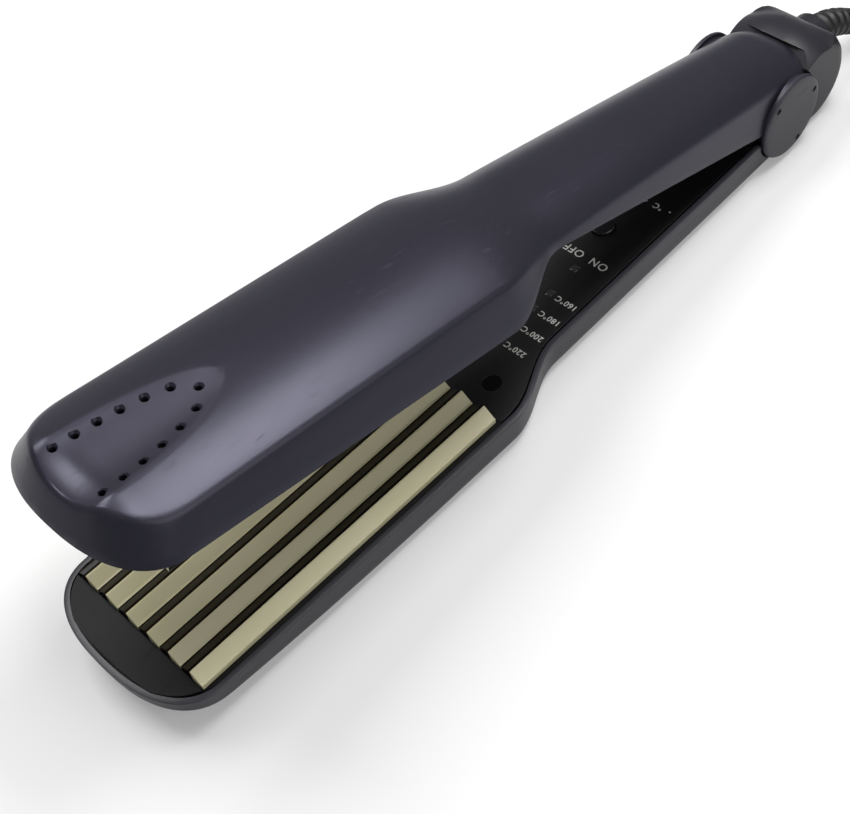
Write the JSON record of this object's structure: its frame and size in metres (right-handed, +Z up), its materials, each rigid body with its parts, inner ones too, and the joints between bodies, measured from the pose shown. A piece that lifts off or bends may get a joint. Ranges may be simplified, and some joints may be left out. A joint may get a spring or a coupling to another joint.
{
  "type": "hair crimper",
  "caption": "Hair crimper with two hinged arms, meshing corrugated plates, a vented scoop at the tip, press buttons in the handle and a mains cord.",
  "frame": {"origin": "on the surface that the crimper lies on, under the middle of the body's length and width, with the cord and plug left out", "axes": "+X from the nose to the hinge and cord, +Y across the width, +Z up from the surface; the lower arm lies flat"},
  "size_m": [0.3809, 0.0849, 0.0715],
  "materials": {
    "upper_shell": "satin-gloss moulded plastic, dark purple-grey",
    "lower_shell": "satin-gloss moulded plastic, dark purple-grey",
    "tail": "satin-gloss moulded plastic, dark purple-grey",
    "hinge_cap": "satin moulded plastic, dark purple-grey",
    "frame_black": "glossy black heat-proof plastic",
    "panel_black": "near-black plastic, slightly glossy",
    "ceramic_plate": "ceramic coating on aluminium, pale khaki",
    "ceramic_heater": "white ceramic heating strip",
    "insulating_sheet": "amber insulating film",
    "spring_steel": "bright spring steel",
    "silicone": "soft red silicone",
    "fuse_sleeve": "woven glass sleeve",
    "sensor_bead": "dark glass bead",
    "board": "green circuit board with black key switches",
    "lamp_lens": "milky lamp window",
    "button": "black push button",
    "screw_black": "black oxide steel",
    "screw_steel": "zinc-plated steel",
    "pin_steel": "ground steel pin",
    "washer": "white acetal",
    "cord_rubber": "matt black PVC",
    "plug_black": "matt black PVC",
    "plug_metal": "nickel-plated brass"
  },
  "bodies": {
    "lower_arm": {"lower_shell": "lower_shell", "lower_plate_frame": "frame_black", "lower_plate": "ceramic_plate", "lower_heater": "ceramic_heater", "lower_insulator": "insulating_sheet", "lower_heater_clip": "spring_steel", "lower_plate_pads": "silicone", "lower_thermal_fuse": "fuse_sleeve", "temperature_sensor": "sensor_bead", "lower_inner_cover": "panel_black", "circuit_board": "board", "lamp_lenses": "lamp_lens", "lower_screws": "screw_black", "tail_screws": "screw_steel", "hinge_washers": "washer", "opening_spring": "spring_steel", "tail_housing": "tail", "strain_relief": "cord_rubber", "mains_cord": "cord_rubber", "cord_coil": "cord_rubber", "cord_end": "cord_rubber", "plug_body": "plug_black", "plug_pins": "plug_metal"},
    "upper_arm": {"upper_shell": "upper_shell", "upper_plate_frame": "frame_black", "upper_plate": "ceramic_plate", "upper_heater": "ceramic_heater", "upper_insulator": "insulating_sheet", "upper_heater_clip": "spring_steel", "upper_plate_pads": "silicone", "upper_thermal_fuse": "fuse_sleeve", "upper_inner_cover": "panel_black", "upper_screws": "screw_black", "hinge_pin": "pin_steel", "hinge_cap_left": "hinge_cap", "hinge_cap_right": "hinge_cap"},
    "power_key": {"power_button": "button"},
    "temperature_key": {"temperature_button": "button"}
  },
  "joints": [
    {"name": "arm_hinge", "type": "hinge", "parent": "lower_arm", "child": "upper_arm", "pos_m": [0.1022, 0, 0.0144], "axis": [0, -1, 0], "range_deg": [0, 10.9], "stiffness_Nm_per_rad": 0.5, "springref_deg": -44.98},
    {"name": "power_press", "type": "slide", "parent": "lower_arm", "child": "power_key", "axis": [0, 0, -1], "range_m": [0, 0.0005], "stiffness_N_per_m": 800, "springref_m": -0.001},
    {"name": "temperature_press", "type": "slide", "parent": "lower_arm", "child": "temperature_key", "axis": [0, 0, -1], "range_m": [0, 0.0005], "stiffness_N_per_m": 800, "springref_m": -0.001}
  ]
}
